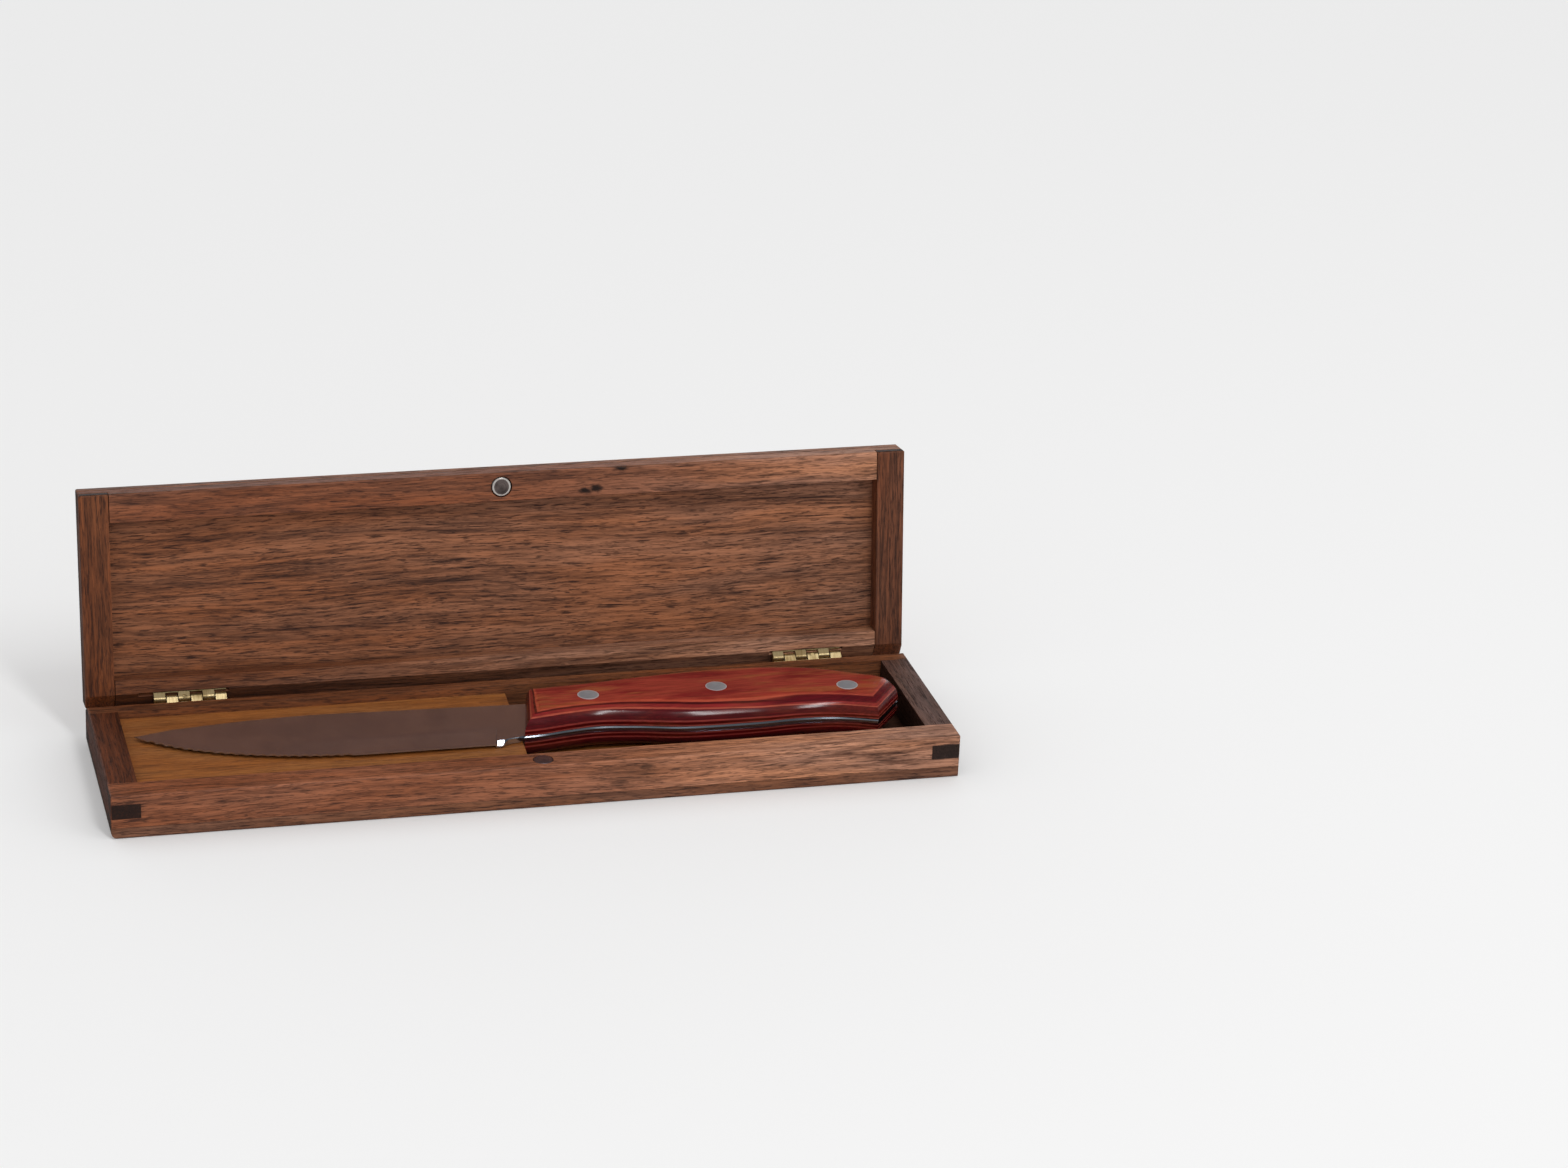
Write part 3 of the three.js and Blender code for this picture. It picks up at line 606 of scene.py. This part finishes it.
def raised(flat, height):
    """Points of a plane, (x, y), each given its height."""
    return np.concatenate([flat, np.broadcast_to(height, flat.shape[:-1])[..., None]], axis=-1)


plate_middle, plate_half = 13.8, 1.1
grip_front = [(-2.3, -13.1), (5, -12.4), (14, -10.7), (24, -9.7), (36.8, -11.4), (48.1, -13.9), (58, -14.9),
              (76.8, -15), (90.8, -14.2), (104.3, -15.4), (116.4, -19.4)]
grip_butt = (127.2, -5)
grip_rear = [(2.9, 11.8), (25, 13.2), (44.2, 15.7), (66.5, 17.4), (85, 16.6), (103, 13.2), (117.6, 6.1),
             (122.2, 3.9), (126.6, 0)]


def blade_plate():
    """Lines run across the plate from its front outline to its rear one, at stations from tip to butt.

    The half thickness is the edge's at the front outline, rises evenly over the ground width, and is then
    full. A row of arcs, |sin| of the length along the edge, is bitten out of the ground width's outer part.
    Past the plunge the plate is full thick, less a slope at the heel and a small one along the tang."""
    tip, belly, plunge = (-127.2, 9.1), (-52.6, -16), (-12.6, -16.1)
    pitch, bite, first, plain, per_tooth = 3.42, 0.9, 5.4, 45.5, 12
    edge_half, ground, corner = 0.15, 10.5, 0.25
    tang_width, tang_rise, grip_stations = 0.6, 0.75, 100
    spine_reach, heel_from, heel_to = 0.93, 0.935, 0.99
    slope_room, bite_room, corner_room = 0.8, 0.6, 0.2

    # Edge: stations crowd at the tip, stand twelve to a serration and then spread evenly to the plunge.
    edge = bezier([tip, (-115.4, -5.4), (-86.2, -16), belly], np.linspace(0, 1, 400))
    run = np.vstack([edge, [plunge]])
    length = np.linalg.norm(np.diff(run, axis=0), axis=1).sum()
    teeth = math.floor((length - first - plain) / pitch)
    place = np.concatenate([first * np.linspace(0, 1, 20, endpoint=False) ** 1.5,
                            first + pitch * np.arange(per_tooth * teeth) / per_tooth,
                            np.linspace(first + pitch * teeth, length, 40)])
    line = along_line(run, place / length)
    arc = np.abs(np.sin(np.pi * np.clip((place - first) / pitch, 0, teeth)))

    # Outlines: the heel's points each have the width and the foot of their own slope.
    heel = [(-12.3, -16.1), (-12.0, -16.1), (-10.2, -16.08), (-9.7, -15.9), (-9.2, -15.4), (-8.2, -14.5),
            (-6.6, -14.0), (-4.5, -13.7)]
    heel_slope = [0.4, 1.25, 1.25, 1.1, 0.7, 0.3, 0.25, 0.25]
    heel_foot = [0.7, -0.3, -0.3, 0.0, 0.4, 0.8, 0.85, 0.85]
    front = np.vstack([line, heel, through(grip_front, grip_stations), [grip_butt]])
    spine = bezier([tip, (-111.2, 10.8), (-85.8, 15.4), (-64.7, 14.7)], np.linspace(0, 1, 200))
    reach = np.concatenate([place / length * spine_reach, np.linspace(heel_from, heel_to, len(heel))])
    back = along_line(np.vstack([spine, [grip_rear[0]]]), reach)
    rear = np.vstack([back, through(grip_rear, grip_stations), [grip_butt]])

    # Slopes: how wide each is, where it starts and ends on the line across, and its foot on both faces.
    tang = grip_stations + 1
    width = np.concatenate([np.full(len(line), ground), heel_slope, np.full(tang, tang_width)])
    across = np.linalg.norm(rear - front, axis=1)
    reached = np.minimum(width, across * slope_room)
    start = np.concatenate([bite * arc, np.zeros(len(heel) + tang)])
    start = np.minimum(start, reached * bite_room)
    edge_feet, tang_feet = np.full(len(line), edge_half), np.full(tang, plate_half - tang_rise)
    top_foot = np.concatenate([edge_feet, heel_foot, tang_feet])
    bottom_foot = np.concatenate([edge_feet, np.full(len(heel), plate_half - corner), tang_feet])
    far = np.minimum(corner, across * corner_room)

    # Grid: six points up the slope, seven over the flat and one at the rear, on the top and on the bottom.
    rise = np.linspace(0, 1, 6)[None, :]
    inner = np.linspace(0, 1, 8)[None, 1:]
    across, width, reached, start, far = (each[:, None] for each in (across, width, reached, start, far))
    up_slope, over_flat = start + (reached - start) * rise, reached + (across - far - reached) * inner
    distance = np.hstack([up_slope, over_flat, across])
    climb = np.minimum(distance / width, 1)
    share = distance / np.maximum(across, 1e-9)
    flat = front[:, None, :] + (rear - front)[:, None, :] * share[:, :, None]
    sides = []
    for way, foot in ((1, top_foot[:, None]), (-1, bottom_foot[:, None])):
        half = foot + (plate_half - foot) * climb
        half[:, -1:] = np.maximum(half[:, -1:] - far, edge_half)
        sides.append(raised(flat, plate_middle + way * half)[:, ::way])
    loops = np.concatenate(sides, axis=1)
    return loops.reshape(-1, 3), net(*loops.shape[:2], closed=True)


steel = marked_metal("blade steel", srgb(204, 212, 226), srgb(166, 174, 188), 0.25, (0.05, 1.4, 1.4), 0.08,
                     axis_turn=(0, 0, 62), lined=0.14, relief=0.0)
form("blade", *blade_plate(), "knife", "knife_blade", "blade_steel", steel, 9)


# Handle scales: two slabs of red laminated wood, shaped to a swelling grip and polished.
# The veneers lie parallel to the tang, so they show as level lines round the sides.
scale_thick = 6.8
face_front = [(3.6, -8), (10.5, -5.5), (17.9, -4.5), (25, -4.2), (36, -4.6), (48, -6.8), (58, -8.4),
              (76, -8.5), (91, -6.9), (104, -8.8), (115.4, -12.2)]
face_butt = (122.3, -2.1)
face_rear = [(5.4, 9.2), (25, 10.6), (44.2, 13), (66.5, 14.7), (84.7, 13.8), (102, 10.3), (115.8, 3.4),
             (119.8, 1.5), (121.6, 0.2)]
side_profile = [(0, 0), (0.35, 0.04), (0.6, 0.17), (0.78, 0.36), (0.92, 0.62), (1, 1)]


def handle_scale(side):
    """Rings round the scale rise from the tang outline to the smaller face outline, by its side's profile.

    The arris between side and face is a parabola's arc. Over the face, height rises from the arris to the
    full thickness by 1 - |2t - 1|^4 of the share t across, fading toward both ends."""
    crown, ease, stations, heel_steps, rings = 0.25, 0.4, 130, 14, 22
    fade_steps, fade_share = 6, 12
    top_level, mitre_limit = 0.96, 1.2
    shoulder = scale_thick - crown
    rim = shoulder + crown * 0.25
    heel = np.linspace(0, 1, heel_steps)[1:-1, None]
    t_across = np.linspace(0, 1, heel_steps)[None, :]

    def outline(front, butt, rear):
        """Ring of the front curve, the butt, the rear curve from there back and the straight heel."""
        near, far = through(front, stations), through(rear, stations)
        return np.vstack([near, [butt], far[::-1], far[0] + (near[0] - far[0]) * heel])

    def filled(ring):
        """Grid over a ring: a line from front to rear at each station, closing up at the butt."""
        near = ring[:stations + 1]
        far = np.vstack([ring[stations + 1:2 * stations + 1][::-1], ring[stations:stations + 1]])
        return near[:, None] + (far - near)[:, None] * t_across[:, :, None]

    grip = outline(grip_front, grip_butt, grip_rear)
    face = outline(face_front, face_butt, face_rear)
    profile = through(side_profile, 80)
    level = np.linspace(0, top_level, rings)
    share = np.interp(level, profile[:, 0], profile[:, 1])
    sides = grip + (face - grip) * share[:, None, None]

    # Arris: it ends on a ring set in from the face outline by the ease, mitred at the corners.
    ahead, behind = np.roll(face, -1, axis=0) - face, face - np.roll(face, 1, axis=0)
    ahead /= np.linalg.norm(ahead, axis=1)[:, None]
    behind /= np.linalg.norm(behind, axis=1)[:, None]
    heading = ahead + behind
    mitre = 2 / np.maximum((heading ** 2).sum(axis=1), mitre_limit)
    inner = face + np.stack([-heading[:, 1], heading[:, 0]], axis=1) * (ease * mitre)[:, None]
    t = np.linspace(0, 1, 6)[1:, None, None]
    arris = (1 - t) ** 2 * sides[-1] + 2 * t * (1 - t) * face + t ** 2 * inner
    t = t[:, :, 0]
    arris_height = (1 - t) ** 2 * level[-1] * shoulder + 2 * t * (1 - t) * shoulder + t ** 2 * rim
    walls = np.concatenate([raised(sides, (level * shoulder)[:, None]), raised(arris, arris_height)])

    # Face: the crown fades in over the first stations and out before the butt.
    station = np.arange(stations + 1)
    fade = np.clip(np.minimum(station / fade_steps, (1 - station / stations) * fade_share), 0, 1)[:, None]
    swell = 1 - np.abs(2 * t_across - 1) ** 4
    cap = raised(filled(inner), rim + (scale_thick - rim) * swell * np.sin(np.pi / 2 * fade))
    back = raised(filled(grip), 0.0)

    points, faces, count = [], [], 0
    for sheet, closed in ((walls, True), (cap, False), (back, False)):
        points.append(sheet.reshape(-1, 3))
        faces.append(net(*sheet.shape[:2], start=count, closed=closed))
        count += len(points[-1])
    points = np.concatenate(points)
    points[:, 2] = plate_middle + side * (plate_half + points[:, 2])
    return points, np.concatenate(faces)


def red_laminate():
    """Veneers coloured by the layer: 0 at the tang's face, 1 at the handle's flat, wavering a little.

    A pale line slides down the side toward the butt, and the bands below and above it are stretched to meet
    it. Wine red fills the layers over it near the butt. Dark and brown streaks run along the flat."""
    waver, pale_line, pale_drop = 0.35, 0.83, 0.21
    butt_from, butt_to = 45.0, 115.0
    bands = [(0.0, (70, 8, 10)), (0.02, (136, 62, 54)), (0.065, (128, 54, 46)), (0.085, (70, 2, 3)),
             (0.2, (68, 2, 3)), (0.225, (140, 54, 48)), (0.29, (136, 50, 44)), (0.315, (78, 3, 8)),
             (0.45, (82, 4, 10)), (0.48, (72, 2, 8)), (0.6, (80, 3, 10)), (0.72, (82, 4, 14)),
             (0.745, (92, 12, 16)), (0.765, (172, 80, 60)), (0.8, (164, 70, 52)), (0.82, (128, 34, 32)),
             (0.885, (132, 32, 30)), (0.9, (66, 2, 8)), (0.926, (66, 2, 8)), (0.938, (178, 76, 54)),
             (0.96, (172, 72, 52)), (0.972, (146, 50, 38)), (1.0, (144, 48, 38))]
    red = bpy.data.materials.new("red laminate")
    red.use_nodes = True
    tree = red.node_tree
    skin = tree.nodes["Principled BSDF"]
    spot = vectors(tree, "SCALE", node(tree, "ShaderNodeTexCoord").outputs["Object"], None, None, 1000.0)
    place = node(tree, "ShaderNodeSeparateXYZ", spot)
    from_middle = maths(tree, "ABSOLUTE", maths(tree, "SUBTRACT", place.outputs[2], plate_middle))
    wobble = maths(tree, "SUBTRACT", noise(tree, spot, (0.045, 0.1, 0.1), 3).outputs[0], 0.5)
    layer = weigh(tree, (from_middle, 1.0), (wobble, waver), (1.0, -plate_half))
    layer = maths(tree, "DIVIDE", layer, scale_thick)
    to_butt = span(tree, place.outputs[0], butt_from, butt_to)

    pale_at = maths(tree, "SUBTRACT", pale_line, maths(tree, "MULTIPLY", to_butt, pale_drop))
    below = maths(tree, "MINIMUM", maths(tree, "DIVIDE", layer, pale_at), 1.0)
    over, room = maths(tree, "SUBTRACT", layer, pale_at), maths(tree, "SUBTRACT", 1.0, pale_at)
    above = maths(tree, "MAXIMUM", maths(tree, "DIVIDE", over, room), 0.0)
    veneers = node(tree, "ShaderNodeValToRGB", weigh(tree, (below, pale_line), (above, 1 - pale_line)))
    ends = veneers.color_ramp.elements
    ends[0].position, ends[0].color = bands[0][0], srgb(*bands[0][1])
    ends[1].position, ends[1].color = bands[-1][0], srgb(*bands[-1][1])
    for share, colour in bands[1:-1]:
        veneers.color_ramp.elements.new(share).color = srgb(*colour)

    wine = maths(tree, "MULTIPLY", span(tree, layer, 0.7, 0.73), span(tree, layer, 0.895, 0.92, 1.0, 0.0))
    wine = maths(tree, "MULTIPLY", wine, span(tree, to_butt, 0.3, 0.7))
    tone = blend(tree, wine, veneers.outputs[0], srgb(84, 4, 14))
    on_face = span(tree, layer, 0.93, 0.97, 0.15, 1.0)
    streak = patches(tree, spot, (0.035, 0.2, 0.2), 4, 0.6, 0.44, 0.62, 0.0, 0.95)
    tone = blend(tree, maths(tree, "MULTIPLY", streak, on_face), tone, srgb(116, 12, 20))
    brown = patches(tree, spot, (0.03, 0.16, 0.16), 3, 0.6, 0.5, 0.64, 0.0, 0.8)
    tone = blend(tree, maths(tree, "MULTIPLY", brown, on_face), tone, srgb(150, 76, 44))
    grainy = patches(tree, spot, (0.1, 2.2, 2.2), 4, 0.7, 0.3, 0.7, 0.7, 1.24)
    tone = vectors(tree, "SCALE", tone, None, None, grainy)
    tree.links.new(tone, skin.inputs["Base Color"])
    tree.links.new(span(tree, grainy, 0.7, 1.24, 0.5, 0.4), skin.inputs["Roughness"])
    skin.inputs["Specular IOR Level"].default_value = 0.05
    skin.inputs["Coat Weight"].default_value = 0.9
    skin.inputs["Coat Roughness"].default_value = 0.17
    skin.inputs["Coat IOR"].default_value = 1.5
    return red


red = red_laminate()
form("upper_handle_scale", *handle_scale(1), "knife", "upper_scale", "red_laminate", red, 40)
form("lower_handle_scale", *handle_scale(-1), "knife", "lower_scale", "red_laminate", red, 40)


# Rivets: three steel pins through both scales and the tang, ground off with the handle.
# Their ends stand a few hundredths of a millimetre proud of the scales, and each has a brighter rim.
proud, rivet_radius, rivet_edge = 0.03, 3.6, 0.1
reach = plate_half + scale_thick + proud
outline = disc_profile(rivet_radius, plate_middle - reach, plate_middle + reach, rivet_edge)
rivets = {"front_rivet": (21.8, 1.1), "middle_rivet": (65.4, 0.9), "rear_rivet": (109.2, -5)}
for name, centre in rivets.items():
    steel = marked_metal(name.replace("_", " ") + " steel", srgb(180, 184, 190), srgb(150, 152, 158), 0.5,
                         (0.1, 3.0, 3.0), 0.4, axis_at=(*centre, 0), axis_turn=(0, 0, 35),
                         rim=(3.25, srgb(212, 206, 208)), metallic=0.55)
    form(name + "_head", *lathed(centre, outline), "knife", name, "rivet_steel", steel, 50)
